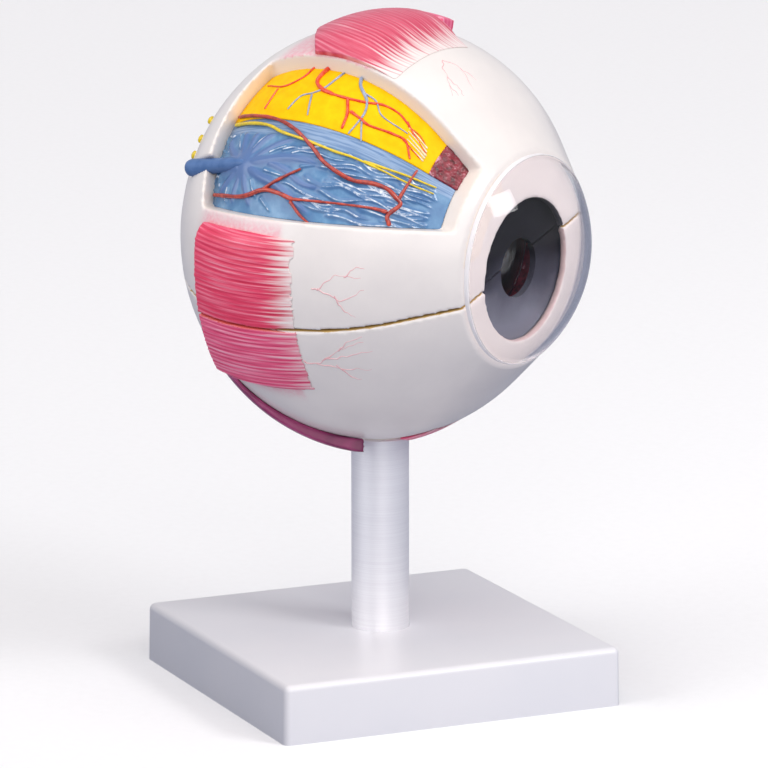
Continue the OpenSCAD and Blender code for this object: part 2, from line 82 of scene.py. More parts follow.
def onGlobe(along, around, depth=0.0):  # a point a given depth below the globe's surface
    along, around, depth = np.broadcast_arrays(
        np.asarray(along, float), np.asarray(around, float), np.asarray(depth, float))
    lean = np.radians(np.maximum(0, eyeball["coneStart"] - along))
    reach = (eyeball["arcRadius"] - depth) / np.cos(lean)
    a, b = np.radians(along), np.radians(around)
    off = eyeball["arcOut"] + reach * np.sin(a)
    return np.stack([reach * np.cos(a), -off * np.cos(b), off * np.sin(b)], -1)


def polar(points):  # along, around and depth of eyeball points
    x = points[:, 0]
    off = np.hypot(points[:, 1], points[:, 2]) - eyeball["arcOut"]
    along = np.degrees(np.arctan2(off, x))
    around = np.degrees(np.arctan2(points[:, 2], -points[:, 1]))
    arcDepth = eyeball["arcRadius"] - np.hypot(x, off)
    coneDepth = eyeball["arcRadius"] - (x + off) / math.sqrt(2)
    return along, around, np.where(along < eyeball["coneStart"], coneDepth, arcDepth)


def outward(points):  # the globe's normal at eyeball points
    along, around, _ = polar(points)
    a = np.radians(np.maximum(along, eyeball["coneStart"]))
    b = np.radians(around)
    return np.stack([np.cos(a), -np.sin(a) * np.cos(b), np.sin(a) * np.sin(b)], -1)


def ringRadius(along):  # distance of the globe's surface from the optical axis
    return eyeball["arcOut"] + eyeball["arcRadius"] * np.sin(np.radians(along))


def arcLength(degrees):  # millimetres along the arc
    return degrees * math.radians(1) * eyeball["arcRadius"]


def turnFrom(around, middle):  # degrees round the axis from a middle line, -180 to 180
    return (around - middle + 180) % 360 - 180


def smoothStep(low, high, value):
    t = np.clip((np.asarray(value, float) - low) / (high - low), 0, 1)
    return t * t * (3 - 2 * t)


def softNoise(points, scale, seed=0.0):  # 3-D noise at eyeball points, about -1 to 1
    return np.array([noise.noise(Vector((x / scale + seed, y / scale, z / scale))) for x, y, z in points])


def smoothRun(points, steps=8):  # a curve through given points
    p = np.asarray(points, float)
    if len(p) < 3:
        t = np.linspace(0, 1, steps + 1)[:, None]
        return p[0] + (p[-1] - p[0]) * t
    ends = np.vstack([2 * p[0] - p[1], p, 2 * p[-1] - p[-2]])
    out = []
    for i in range(len(p) - 1):
        a, b, c, d = ends[i:i + 4]
        for t in np.linspace(0, 1, steps, endpoint=False):
            out.append(0.5 * (2 * b + (c - a) * t + (2 * a - 5 * b + 4 * c - d) * t * t
                    + (3 * b - a - 3 * c + d) * t ** 3))
    return np.array(out + [p[-1]])


# pieces from mesh code
def addPiece(name, mesh, body):
    mesh.shade_smooth()
    piece = bpy.data.objects.new(name, mesh)
    bpy.context.scene.collection.objects.link(piece)
    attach(piece, body)
    return piece


def newObject(name, vertices, faces, body):
    mesh = bpy.data.meshes.new(name)
    mesh.from_pydata([tuple(v) for v in vertices], [], faces)
    bm = bmesh.new()
    bm.from_mesh(mesh)
    bmesh.ops.recalc_face_normals(bm, faces=bm.faces)
    bm.to_mesh(mesh)
    bm.free()
    return addPiece(name, mesh, body)


def remeshed(node, name, body, grid, rounding):  # the node's solid in even faces, its edges rubbed round
    source = bpy.data.objects.new(name, frame["nodes"][node].data.copy())
    source.data.materials.clear()
    bpy.context.scene.collection.objects.link(source)
    remesh = source.modifiers.new("even faces", "REMESH")
    remesh.mode = "VOXEL"
    remesh.voxel_size = grid * mm
    rub = source.modifiers.new("rounded edges", "SMOOTH")
    rub.factor, rub.iterations = 0.5, rounding
    evaluated = source.evaluated_get(bpy.context.evaluated_depsgraph_get())
    mesh = bpy.data.meshes.new_from_object(evaluated)
    mesh.name = name
    bpy.data.objects.remove(source)
    return addPiece(name, mesh, body)


def weld(piece, distance=1e-6):
    bm = bmesh.new()
    bm.from_mesh(piece.data)
    bmesh.ops.remove_doubles(bm, verts=bm.verts, dist=distance)
    bmesh.ops.recalc_face_normals(bm, faces=bm.faces)
    bm.to_mesh(piece.data)
    bm.free()


def paint(piece, name, values):  # a number for each vertex, for the materials to read
    attribute = piece.data.attributes.new(name, "FLOAT", "POINT")
    attribute.data.foreach_set("value", np.asarray(values, np.float32))


def eyePoints(piece):
    points = np.zeros(len(piece.data.vertices) * 3)
    piece.data.vertices.foreach_get("co", points)
    return toEye(points.reshape(-1, 3))


def moveTo(piece, points):
    piece.data.vertices.foreach_set("co", np.asarray(toRow(points), np.float32).ravel())
    piece.data.update()


def lathe(profile, turns=128):  # closed ring of [radius, height] points turned about Z
    profile = np.asarray(profile, float)
    angles = np.linspace(0, 2 * math.pi, turns, endpoint=False)
    vertices = [(r * math.cos(a), r * math.sin(a), z) for a in angles for r, z in profile]
    n = len(profile)
    onAxis = profile[:, 0] < 1e-6
    faces = []
    for i in range(turns):
        j = (i + 1) % turns
        for k in range(n):
            l = (k + 1) % n
            if not (onAxis[k] and onAxis[l]):
                faces.append((i * n + k, j * n + k, j * n + l, i * n + l))
    return np.array(vertices), faces


def tube(path, radii, ups, sides=10, capRings=3):  # round-ended tube along a path
    path = np.asarray(path, float)
    radii = np.broadcast_to(np.asarray(radii, float), len(path)).copy()
    along = np.gradient(path, axis=0)
    along /= np.linalg.norm(along, axis=1)[:, None]
    across = np.cross(along, ups)
    across /= np.linalg.norm(across, axis=1)[:, None]
    up = np.cross(across, along)
    leans = [math.pi / 2 * (k + 0.35) / (capRings + 0.35) for k in range(capRings)]

    def cap(end, way):  # the rings that round off an end, from the tip inward
        return [(path[end] + way * along[end] * radii[end] * math.cos(t), across[end], up[end],
                radii[end] * math.sin(t)) for t in leans]

    rings = cap(0, -1) + list(zip(path, across, up, radii)) + cap(-1, 1)[::-1]
    turn = np.linspace(0, 2 * math.pi, sides, endpoint=False)
    cosine, sine = np.cos(turn)[:, None], np.sin(turn)[:, None]
    vertices = np.vstack([middle + r * (cosine * s + sine * u) for middle, s, u, r in rings])
    faces = [tuple(range(sides))]
    for i in range(len(rings) - 1):
        for k in range(sides):
            n = (k + 1) % sides
            faces.append((i * sides + k, i * sides + n, (i + 1) * sides + n, (i + 1) * sides + k))
    last = (len(rings) - 1) * sides
    faces.append(tuple(last + k for k in reversed(range(sides))))
    return vertices, faces


def joined(parts):
    vertices, faces, start = [], [], 0
    for v, f in parts:
        vertices.append(v)
        faces += [tuple(i + start for i in face) for face in f]
        start += len(v)
    return np.vstack(vertices), faces


def surfaceRun(run, depth, width, tips=(1.0, 1.0), wobble=0.0, climb=0.0):   # tube on the globe or a floor
    points = smoothRun(run)
    # the retina stands a little above the blue floor, and the cords climb onto it
    depth = depth - climb * smoothStep(window["border"] - 0.5, window["border"] + 0.5, points[:, 1])
    path = onGlobe(points[:, 0], points[:, 1], depth)
    s = np.linspace(0, 1, len(path))
    size = width / 2 * (tips[0] + (tips[1] - tips[0]) * s)
    if wobble:
        size = size * (1 + wobble * softNoise(path, 2.5, width))
    return tube(path, size, outward(path))


# materials
def linear(hexText):  # sRGB hex to linear
    channels = [int(hexText[i:i + 2], 16) / 255 for i in (1, 3, 5)]
    return tuple(c / 12.92 if c <= 0.04045 else ((c + 0.055) / 1.055) ** 2.4 for c in channels) + (1,)


def addNode(tree, kind, sockets=None, stops=None, **settings):  # one node with its settings and links
    node = tree.nodes.new("ShaderNode" + kind)
    for key, value in settings.items():
        setattr(node, key, value)
    for key, value in (sockets or {}).items():
        if isinstance(value, bpy.types.Node):     # a node stands for its first output
            value = value.outputs[0]
        if isinstance(value, str) and value[0] == "#":
            value = linear(value)
        if isinstance(value, bpy.types.NodeSocket):
            tree.links.new(value, node.inputs[key])
        else:
            node.inputs[key].default_value = value
    for i, (place, colour) in enumerate(stops or []):
        elements = node.color_ramp.elements
        element = elements[i] if i < 2 else elements.new(place)
        element.position, element.color = place, linear(colour)
    return node


def newMaterial(name):   # the material, what adds its nodes, and its place in the piece's own space
    material = bpy.data.materials.new(name)
    material.use_nodes = True
    material.node_tree.nodes.clear()
    add = partial(addNode, material.node_tree)
    return material, add, add("TexCoord").outputs["Object"]


def readPaint(add, *names):   # what paint() left on the vertices
    return [add("Attribute", attribute_name=name).outputs["Fac"] for name in names]


def finishMaterial(add, relief=None, **sockets):   # relief: height, strength and reach in metres
    names = {
        "colour": "Base Color", "rough": "Roughness", "coat": "Coat Weight", "coatRough": "Coat Roughness",
        "metal": "Metallic", "ior": "IOR", "sheen": "Sheen Weight"}
    shader = add("BsdfPrincipled", {names[k]: v for k, v in sockets.items()})
    if relief:
        bump = add("Bump", dict(zip(("Height", "Strength", "Distance"), relief)))
        shader.id_data.links.new(bump.outputs[0], shader.inputs["Normal"])
    add("OutputMaterial", {"Surface": shader})


def dress(piece, finish):
    piece.data.materials.clear()
    piece.data.materials.append(materials[finish])


enamel = {   # semi-gloss enamel sprayed over cast resin: even, with a soft sheen and faint orange peel
    "white": "#efe8e3", "shade": "#e7e0dc", "wall": "#efe3d8", "haze": "#ee9fae",
    "lip": "#2b2932", "blush": "#dfc6c2", "seam": "#c9a765", "edge": 0.12, "rough": 0.34,
    "mottle": 45.0, "speck": 900.0, "peelSize": 0.9,     # noise scales; the peel's size in mm
}


def sprayedWhiteEnamel():
    material, add, place = newMaterial("sprayed white enamel")
    mottle = add("TexNoise", {"Vector": place, "Scale": enamel["mottle"], "Detail": 4.0})
    base = add("ValToRGB", {"Fac": mottle}, stops=[(0.3, enamel["shade"]), (0.62, enamel["white"])])
    wall, haze = readPaint(add, "wall", "haze")
    walled = add("MixRGB", {"Fac": wall, "Color1": base, "Color2": enamel["wall"]})
    spray = add("TexNoise", {"Vector": place, "Scale": enamel["speck"], "Detail": 3.0})
    speckle = add("Math", {0: haze, 1: spray}, operation="MULTIPLY")
    strength = add("Math", {0: speckle, 1: 1.5}, operation="MULTIPLY", use_clamp=True)
    colour = add("MixRGB", {"Fac": strength, "Color1": walled, "Color2": enamel["haze"]})
    marks = ("seam", "lip", "blush")
    for mark, reach in zip(marks, readPaint(add, *marks)):   # crisp where the painted distance passes zero
        inside = add("MapRange", {"Value": reach, "From Min": 0.0, "From Max": enamel["edge"]})
        colour = add("MixRGB", {"Fac": inside, "Color1": colour, "Color2": enamel[mark]})
    peel = add("TexNoise", {"Vector": place, "Scale": 1 / (enamel["peelSize"] * mm), "Detail": 1.0})
    finishMaterial(add, (peel, 0.05, 0.0002), colour=colour, rough=enamel["rough"], coat=0.25, coatRough=0.12)
    return material


muscle = {   # enamel brushed on along the fibres: painted highlight pales the ridges, and the grooves are darker
    "pink": ("#cc2248", "#e64065", "#f28ba0"), "rose": ("#c63654", "#d5506b", "#e48093"),
    "crimson": ("#d62f61", "#ef5f87", "#f8a6bc"), "maroon": ("#6e214c", "#9c3468", "#b95486"),
    "faded": "#f1e4e0", "seam": "#d8421f",
    "fibre": 0.8, "stretch": 0.045,        # width of a fibre in mm, and its noise scale along the length
    "reliefLight": 0.16, "ragged": 1.7,           # how far painted highlight pales the crests and the grooves darken, and how uneven the faded end is
}


def brushedEnamel(name, tones, fadeMost=0.85):
    material, add, _ = newMaterial(name)
    along, across, ridge, fade, seam = readPaint(add, "along", "across", "ridge", "fade", "seam")
    reliefLight, ragged = muscle["reliefLight"], muscle["ragged"]
    run = add("Math", {0: along, 1: muscle["stretch"]}, operation="MULTIPLY")
    side = add("Math", {0: across, 1: 1 / muscle["fibre"]}, operation="MULTIPLY")
    grain = add("CombineXYZ", {"X": run, "Y": side})
    fibre = add("TexNoise", {"Vector": grain, "Scale": 1.0, "Detail": 3.0, "Roughness": 0.55})
    # painted highlight: crests paler, grooves darker
    litRelief = add("Math", {0: ridge, 1: -reliefLight, 2: reliefLight / 2}, operation="MULTIPLY_ADD")
    mixed = add("Math", {0: fibre, 1: litRelief}, operation="ADD")
    body = add("ValToRGB", {"Fac": mixed}, stops=[(0.30, tones[0]), (0.72, tones[2]), (0.5, tones[1])])
    uneven = add("Math", {0: mixed, 1: ragged, 2: -ragged / 2}, operation="MULTIPLY_ADD")
    front = add("Math", {0: fade, 1: uneven}, operation="ADD")
    soft = add("MapRange", {"Value": front, "From Min": 0.25, "From Max": 1.0, "To Max": fadeMost},
            interpolation_type="SMOOTHSTEP")
    faded = add("MixRGB", {"Fac": soft, "Color1": body, "Color2": muscle["faded"]})
    final = add("MixRGB", {"Fac": seam, "Color1": faded, "Color2": muscle["seam"]})
    finishMaterial(add, (fibre, 0.3, 0.0003), colour=final, rough=0.4, coat=0.12, coatRough=0.15)
    return material


# brushed lacquer or enamel in two close tones, with a wet look; grain is the size of its clouds in mm
def glossLacquer(name, colours, grain=2.0, rough=0.22, bump=0.15, coat=0.4, ior=1.45):
    material, add, place = newMaterial(name)
    cloud = add("TexNoise", {"Vector": place, "Scale": 1 / (grain * mm), "Detail": 4.0})
    tone = add("ValToRGB", {"Fac": cloud}, stops=[(0.35, colours[0]), (0.65, colours[1])])
    finishMaterial(add, (cloud, bump, 0.0003), colour=tone, rough=rough, coat=coat, coatRough=0.06, ior=ior)
    return material


choroid = {   # blue lacquer flooded over cast vessels; the white along the crests is painted highlight, and the blue beside them is darker
    "floor": "#5483ae", "deep": "#4672a2", "pale": "#729dc2", "cloud": 180.0,
    # the white is painted highlight along the crests, and also the colour of the bare casting at the rear
    # edge
    "slate": "#5675a8", "groove": "#446a9c", "crest": "#e9f0f6", "highlightNoise": 500.0,
    "strip": "#88a3c5", "stripDark": "#6083ae", "lanes": (0.08, 1.4),    # streaks per degree
}


def floodedBlueLacquer():
    material, add, place = newMaterial("flooded blue lacquer")
    vein, groove, strip, crest = readPaint(add, "vein", "groove", "strip", "crest")
    along, across = readPaint(add, "along", "across")
    cloud = add("TexNoise", {"Vector": place, "Scale": choroid["cloud"], "Detail": 4.0})
    colour = add("ValToRGB", {"Fac": cloud},
            stops=[(0.32, choroid["deep"]), (0.7, choroid["pale"]), (0.5, choroid["floor"])])
    for mark, tint in ((vein, "slate"), (groove, "groove")):      # trunks, and darker blue beside each crest
        colour = add("MixRGB", {"Fac": mark, "Color1": colour, "Color2": choroid[tint]})
    run = add("Math", {0: along, 1: choroid["lanes"][0]}, operation="MULTIPLY")
    side = add("Math", {0: across, 1: choroid["lanes"][1]}, operation="MULTIPLY")
    lanes = add("CombineXYZ", {"X": run, "Y": side})
    band = add("TexNoise", {"Vector": lanes, "Scale": 1.0, "Detail": 2.0})
    stripTone = add("ValToRGB", {"Fac": band},
            stops=[(0.42, choroid["stripDark"]), (0.56, choroid["strip"])])
    stripped = add("MixRGB", {"Fac": strip, "Color1": colour, "Color2": stripTone})
    # painted highlight: white along the crests, broken up by noise
    highlightSpots = add("TexNoise", {"Vector": place, "Scale": choroid["highlightNoise"], "Detail": 3.0})
    brushed = add("Math", {0: crest, 1: highlightSpots}, operation="MULTIPLY")
    bright = add("MapRange", {"Value": brushed, "From Min": 0.3, "From Max": 0.62})
    final = add("MixRGB", {"Fac": bright, "Color1": stripped, "Color2": choroid["crest"]})
    finishMaterial(add, (cloud, 0.2, 0.0004), colour=final, rough=0.26, coat=0.3, coatRough=0.06)
    return material


# lacquer dabbed on with a stiff brush over a rough casting: dark, with pale flecks left between; toward the
# patch's rear edge the flecks are lifted paler as painted highlight
stipple = {"deep": "#4a0d18", "red": "#84202f", "rose": "#94303f", "fleck": "#dca4b0", "dab": 420.0,
          # how far painted highlight lifts the flecks toward the rear edge
          "highlightLift": 0.12}


def stippledMaroonLacquer():
    material, add, place = newMaterial("stippled maroon lacquer")
    dab = add("TexNoise", {"Vector": place, "Scale": stipple["dab"], "Detail": 5.0,
            "Roughness": 0.65})
    pale, = readPaint(add, "pale")
    # painted highlight: the pale mark lifts the flecks toward the rear edge
    lifted = add("Math", {0: pale, 1: stipple["highlightLift"], 2: dab}, operation="MULTIPLY_ADD")
    tone = add("ValToRGB", {"Fac": lifted}, stops=[(0.38, stipple["deep"]), (0.70, stipple["fleck"]),
            (0.52, stipple["red"]), (0.62, stipple["rose"])])
    finishMaterial(add, (dab, 0.6, 0.0006), colour=tone, rough=0.35, coat=0.15, coatRough=0.08)
    return material


# acrylic or clear resin, cast and polished: it lets the lamps through to what it covers
def castClearAcrylic(name, tint, rough=0.01, ior=1.49):
    material, add, _ = newMaterial(name)
    rim, = readPaint(add, "rim")        # 1 on a sawn edge, which is frosted
    clear = add("MapRange", {"Value": rim, "To Min": 1.0, "To Max": 0.1})
    dull = add("MapRange", {"Value": rim, "To Min": rough, "To Max": 0.5})
    shader = add("BsdfPrincipled", {"Base Color": tint, "Roughness": dull, "IOR": ior,
            "Transmission Weight": clear})
    shadowRay = add("LightPath").outputs["Is Shadow Ray"]
    through = add("BsdfTransparent", {"Color": "#eeeaea"})
    mix = add("MixShader", {0: shadowRay, 1: shader, 2: through})
    add("OutputMaterial", {"Surface": mix})
    return material


# injection-moulded ABS: bright gloss, a trace of moulding haze, and the mould's own 1 mm waviness
plastic = {"tones": ("#ecebef", "#f0eef1"), "haze": 30.0, "waviness": 900.0, "rough": (0.26, 0.36)}


def mouldedWhiteAbs():
    material, add, place = newMaterial("moulded white ABS")
    haze = add("TexNoise", {"Vector": place, "Scale": plastic["haze"], "Detail": 3.0})
    low, high = plastic["tones"]
    tone = add("ValToRGB", {"Fac": haze}, stops=[(0.3, low), (0.7, high)])
    smooth, dull = plastic["rough"]
    rough = add("MapRange", {"Value": haze, "To Min": smooth, "To Max": dull})
    fine = add("TexNoise", {"Vector": place, "Scale": plastic["waviness"], "Detail": 1.0})
    finishMaterial(add, (fine, 0.03, 0.0002), colour=tone, rough=rough)
    return material


def turnedMetal(name, tones, rough, groove=0.25, metal=1.0):   # fine rings left by the lathe tool
    material, add, place = newMaterial(name)
    stretch = add("Mapping", {"Vector": place, "Scale": (40.0, 40.0, 1 / (groove * mm))})
    rings = add("TexNoise", {"Vector": stretch, "Scale": 1.0, "Detail": 1.0})
    tone = add("ValToRGB", {"Fac": rings}, stops=[(0.3, tones[0]), (0.7, tones[1])])
    spread = add("MapRange", {"Value": rings, "To Min": rough - 0.06, "To Max": rough + 0.06})
    finishMaterial(add, (rings, 0.03, 0.0001), colour=tone, rough=spread, metal=metal)
    return material


def pressedFelt():   # matted wool, soft and without gloss
    material, add, place = newMaterial("pressed green felt")
    hair = add("TexNoise", {"Vector": place, "Scale": 1600.0, "Detail": 5.0})
    tone = add("ValToRGB", {"Fac": hair}, stops=[(0.3, "#16301f"), (0.7, "#2f5a3c")])
    finishMaterial(add, (hair, 0.6, 0.0004), colour=tone, rough=0.95, sheen=0.4)
    return material


# black lacquer with a satin gloss, slate below and black above; the lighter slate low down is a painted
# reflection
slate = {"low": 0.118, "high": 0.158, "cloud": 90.0, "drift": 0.012}     # heights in metres


def slateWithPaintedReflection():
    material, add, place = newMaterial("slate lacquer with painted reflection")
    height = add("SeparateXYZ", {"Vector": place}).outputs["Z"]
    cloud = add("TexNoise", {"Vector": place, "Scale": slate["cloud"], "Detail": 3.0})
    drift = add("Math", {0: cloud, 1: slate["drift"], 2: -slate["drift"] / 2}, operation="MULTIPLY_ADD")
    level = add("Math", {0: height, 1: drift}, operation="ADD")
    # painted reflection: pale slate low down, black higher up
    rise = add("MapRange", {"Value": level, "From Min": slate["low"], "From Max": slate["high"]})
    tone = add("ValToRGB", {"Fac": rise},
            stops=[(0.0, "#7b7e8a"), (1.0, "#050507"), (0.33, "#3e3e49"), (0.55, "#100f14")])
    finishMaterial(add, colour=tone, rough=0.35, ior=1.3)
    return material


lacquers = {   # key, name, two tones, and what differs from the usual lacquer
    "yellow": ("brushed yellow lacquer", ("#fabe00", "#ffcb05"),
          {"grain": 3.0, "rough": 0.5, "bump": 0.05, "coat": 0.0, "ior": 1.2}),
    "artery": ("brushed dark red lacquer", ("#8f2f2c", "#c8472f"), {"grain": 1.6}),
    "red": ("brushed bright red lacquer", ("#dd3316", "#ee5a2c"), {"grain": 1.6}),
    "grey": ("brushed blue-grey lacquer", ("#7f92b4", "#a3b1c9"), {"grain": 1.6}),
    "vein": ("brushed slate blue lacquer", ("#476a9d", "#5778aa"),
          {"grain": 3.0, "rough": 0.4, "coat": 0.1, "ior": 1.35}),
    "nerve": ("brushed ochre lacquer", ("#d6bb2c", "#f2d21e"), {"grain": 1.2}),
    "cream": ("brushed cream lacquer", ("#e9d9a8", "#f4ecd0"), {}),
    "opticNerve": ("brushed straw enamel", ("#d9bf72", "#ecd99a"),
        {"grain": 2.5, "rough": 0.38, "coat": 0.1}),
    "lining": ("sprayed red-brown enamel", ("#6d2a26", "#8a3a30"), {"grain": 4.0, "rough": 0.4, "coat": 0.1}),
    "retina": ("sprayed orange enamel", ("#d9813f", "#e79a55"), {"grain": 4.0, "rough": 0.4, "coat": 0.1}),
    "capillary": ("thinned pink lacquer", ("#e6adb1", "#edc4c4"), {"grain": 1.0, "bump": 0.02}),
    "nylon": ("moulded nylon", ("#e2dfd3", "#ece9df"), {"rough": 0.5, "coat": 0.0}),
}
materials = {key: glossLacquer(name, tones, **rest) for key, (name, tones, rest) in lacquers.items()}
materials.update({
    "white": sprayedWhiteEnamel(),
    "muscle": brushedEnamel("brushed pink enamel", muscle["pink"], fadeMost=1.0),
    "muscleRose": brushedEnamel("brushed rose enamel", muscle["rose"], fadeMost=1.0),
    "muscleCrimson": brushedEnamel("brushed crimson enamel", muscle["crimson"], fadeMost=0.7),
    "muscleMaroon": brushedEnamel("brushed maroon enamel", muscle["maroon"]),
    "blue": floodedBlueLacquer(),
    "maroon": stippledMaroonLacquer(),
    "iris": slateWithPaintedReflection(),
    "cornea": castClearAcrylic("polished clear acrylic", "#efedef", ior=1.25),
    "lens": castClearAcrylic("cast clear resin", "#c9cfcd", rough=0.03),
    "vitreous": castClearAcrylic("cast clear resin, tinted", "#e3ecee", rough=0.04),
    "abs": mouldedWhiteAbs(),
    "rod": turnedMetal("satin aluminium", ("#f0eef1", "#f6f5f7"), 0.42, metal=0.6),
    "steel": turnedMetal("zinc-plated steel", ("#9b9da1", "#b7b9bc"), 0.3),
    "brass": turnedMetal("turned brass", ("#b8924c", "#d0aa62"), 0.25),
    "felt": pressedFelt(),
})
print("materials made:", len(materials))


def assign(piece, node, finish):   # what the piece stands for, and its finish
    if node:
        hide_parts(node)
    dress(piece, finish)


stand = {   # millimetres
    "side": 110.0, "height": 18.0, "lean": 0.25, "rounding": 2.0, "sharpFrom": 30,
    "rodRadius": 8.8, "rodTop": 77.7, "rodFoot": 13.0, "rodChamfer": 0.4, "rodSteps": 24, "holeRadius": 8.9,
    "pocketRadius": 9.5, "pocketDepth": 8.5, "padSide": 102.0, "padDepth": 1.0,
    "below": -2, "above": 30,            # where the cutters end, clear of the block
}


def boxSolid(foot, top):   # box from the height and half the side at both ends
    corners = ((-1, -1), (1, -1), (1, 1), (-1, 1))
    vertices = [(x * half, y * half, z) for z, half in (foot, top) for x, y in corners]
    faces = [(3, 2, 1, 0), (4, 5, 6, 7), (0, 1, 5, 4), (1, 2, 6, 5), (2, 3, 7, 6), (3, 0, 4, 7)]
    return np.array(vertices) * mm, faces


def roundSolid(radius, low, high):
    v, f = lathe([(0, low), (radius, low), (radius, high), (0, high)], 64)
    return v * mm, f


def makeBase():
    half, pad = stand["side"] / 2, stand["padSide"] / 2
    block = boxSolid((0, half), (stand["height"], half - stand["lean"]))
    piece = newObject("baseBlock", *block, "stand")
    bm = bmesh.new()
    bm.from_mesh(piece.data)
    keen = [e for e in bm.edges if max(v.co.z for v in e.verts) > mm]   # all but the foot's own edges
    bmesh.ops.bevel(bm, geom=keen, offset=stand["rounding"] * mm, segments=6, affect="EDGES", profile=0.5)
    bm.to_mesh(piece.data)
    bm.free()
    below = stand["below"]
    for v, f in (roundSolid(stand["holeRadius"], stand["rodFoot"], stand["above"]),
            roundSolid(stand["pocketRadius"], below, stand["pocketDepth"]),
            boxSolid((below, pad), (stand["padDepth"], pad))):
        cutter = newObject("cutter", v, f, "stand")
        weld(cutter)
        cut = piece.modifiers.new("cut", "BOOLEAN")
        cut.operation, cut.object, cut.solver = "DIFFERENCE", cutter, "EXACT"
        mesh = bpy.data.meshes.new_from_object(piece.evaluated_get(bpy.context.evaluated_depsgraph_get()))
        piece.modifiers.clear()
        piece.data = mesh
        bpy.data.objects.remove(cutter)
    piece.data.shade_smooth()
    piece.data.set_sharp_from_angle(angle=math.radians(stand["sharpFrom"]))
    assign(piece, "base", "abs")


def makeRod():
    r, chamfer = stand["rodRadius"], stand["rodChamfer"]
    low, high = stand["rodFoot"], stand["rodTop"]
    heights = np.linspace(low + chamfer, high - chamfer, stand["rodSteps"])
    profile = [(0, low), (r - chamfer, low)] + [(r, z) for z in heights] + [(r - chamfer, high), (0, high)]
    v, f = lathe(profile, 96)
    piece = newObject("rodShaft", v * mm, f, "stand")
    weld(piece)
    piece.data.set_sharp_from_angle(angle=math.radians(stand["sharpFrom"]))
    assign(piece, "rod", "rod")


makeBase()
makeRod()
print("stand made")


muscles = {   # rear and front end along the arc, both edges round the axis, reach of the overspray in mm
    "superior_rectus": {"along": (108, 66), "around": (82, 119), "haze": 4.0},
    "lateral_rectus": {"along": (112, 71), "around": (-21, 26), "haze": 3.5},
    "medial_rectus": {"along": (112, 62), "around": (156, 202), "haze": 3.0, "axis": 180},
    "inferior_rectus": {"along": (112, 56), "around": (-108, -68), "haze": 3.0, "axis": -90},
}
overspray = {"most": 0.8, "frontStop": 11, "frontFall": 3}   # it ends 11 degrees before a muscle's front end
shells = {   # millimetres in the eyeball's frame
    "grid": 0.7, "rounding": 3, "snap": 0.3, "skin": 0.5, "rear": 175, "landClear": 0.4,
    "sink": 0.06, "ripples": ((0.05, 9.0, 0.0), (0.02, 2.5, 5.0)), "seamClear": 1.2,   # height, size, seed
    "gap": 0.34, "bareHalfGap": 0.3, "seamReach": 0.8, "seamPaint": 0.5,
    "mouthRadius": 21.55, "mouthDrop": 3.5, "mouthBack": 5.6,      # the painted lip of the front opening
    "recessDepth": (0.35, 6), "recessFrom": (-32, -99, 12), "recessTo": (99, -6, 99), "recessTint": 0.75,
}


def hazeAt(along, around):   # pink overspray round the muscles
    total = np.zeros(len(along))
    for spot in muscles.values():
        rear, front = spot["along"]
        low, high = spot["around"]
        turn = turnFrom(around, (low + high) / 2)
        side = np.maximum(0, np.abs(turn) - (high - low) / 2) * math.radians(1) * ringRadius(along)
        ahead = overspray["frontFall"] * (front + overspray["frontStop"] - along)
        end = arcLength(np.maximum(0, np.maximum(along - rear, ahead)))
        total = np.maximum(total, overspray["most"] * np.exp(-(np.hypot(side, end) / spot["haze"]) ** 2))
    return total


def closeSeam(points):   # the painted lips of the two halves stand closer than the bare solids
    height = np.abs(points[:, 2])
    reach = shells["seamReach"]
    lip = height < reach
    drawn = np.interp(height[lip], (shells["bareHalfGap"], reach), (shells["gap"] / 2, reach))
    points[lip, 2] = np.sign(points[lip, 2]) * drawn


def makeShell(node, name, body, mouthMark):
    piece = remeshed(node, name, body, shells["grid"], shells["rounding"])
    points = eyePoints(piece)
    along, around, depth = polar(points)
    normal = outward(points)
    near = 1 - smoothStep(0.5 * shells["snap"], shells["snap"], np.abs(depth))
    near *= (along < shells["rear"]) & (points[:, 0] < eyeball["landX"] - shells["landClear"])
    points += normal * (depth * near)[:, None]
    skin = np.abs(depth) < shells["skin"]
    closeSeam(points)
    ripple = sum(height * softNoise(points, size, seed) for height, size, seed in shells["ripples"])
    clear = skin & (np.abs(points[:, 2]) > shells["seamClear"])
    points -= normal * ((shells["sink"] + ripple) * clear)[:, None]
    moveTo(piece, points)
    shallow, deep = shells["recessDepth"]
    recess = (depth > shallow) & (depth < deep)
    recess &= np.all((points > shells["recessFrom"]) & (points < shells["recessTo"]), axis=1)
    paint(piece, "wall", recess * shells["recessTint"])
    paint(piece, "haze", hazeAt(along, around) * skin)
    paint(piece, "seam", shells["seamPaint"] - np.abs(points[:, 2]))
    mouth = shells["mouthRadius"] - np.hypot(points[:, 1], points[:, 2] + shells["mouthDrop"])
    mouth = np.where(points[:, 0] > eyeball["landX"] - shells["mouthBack"], mouth, -1)
    for mark in ("lip", "blush"):
        paint(piece, mark, mouth if mark == mouthMark else -np.ones(len(mouth)))
    assign(piece, node, "white")


makeShell("sclera_upper", "scleraUpperShell", "eye_upper", "lip")
makeShell("sclera_lower", "scleraLowerShell", "eye_lower", "blush")
print("white shells made")


fibres = {   # millimetres; the grooves that the brushed fibres lie in
    "grid": 0.45, "rounding": 4, "pitch": 1.5, "groove": 0.2, "obliqueGroove": 0.1,
    "clear": 0.25, "film": 0.08,           # the part above the globe that stays smooth and that stays thick
    "wave": (14, 3, 1.3), "waver": 1.2,    # length, width and noise size of the fibres' waver
    "seamClear": 0.8, "seamPaint": 0.55, "seamTint": 0.8, "obliqueFade": -0.4,
}
oblique = {"along": (120, 60), "around": (0, 360)}


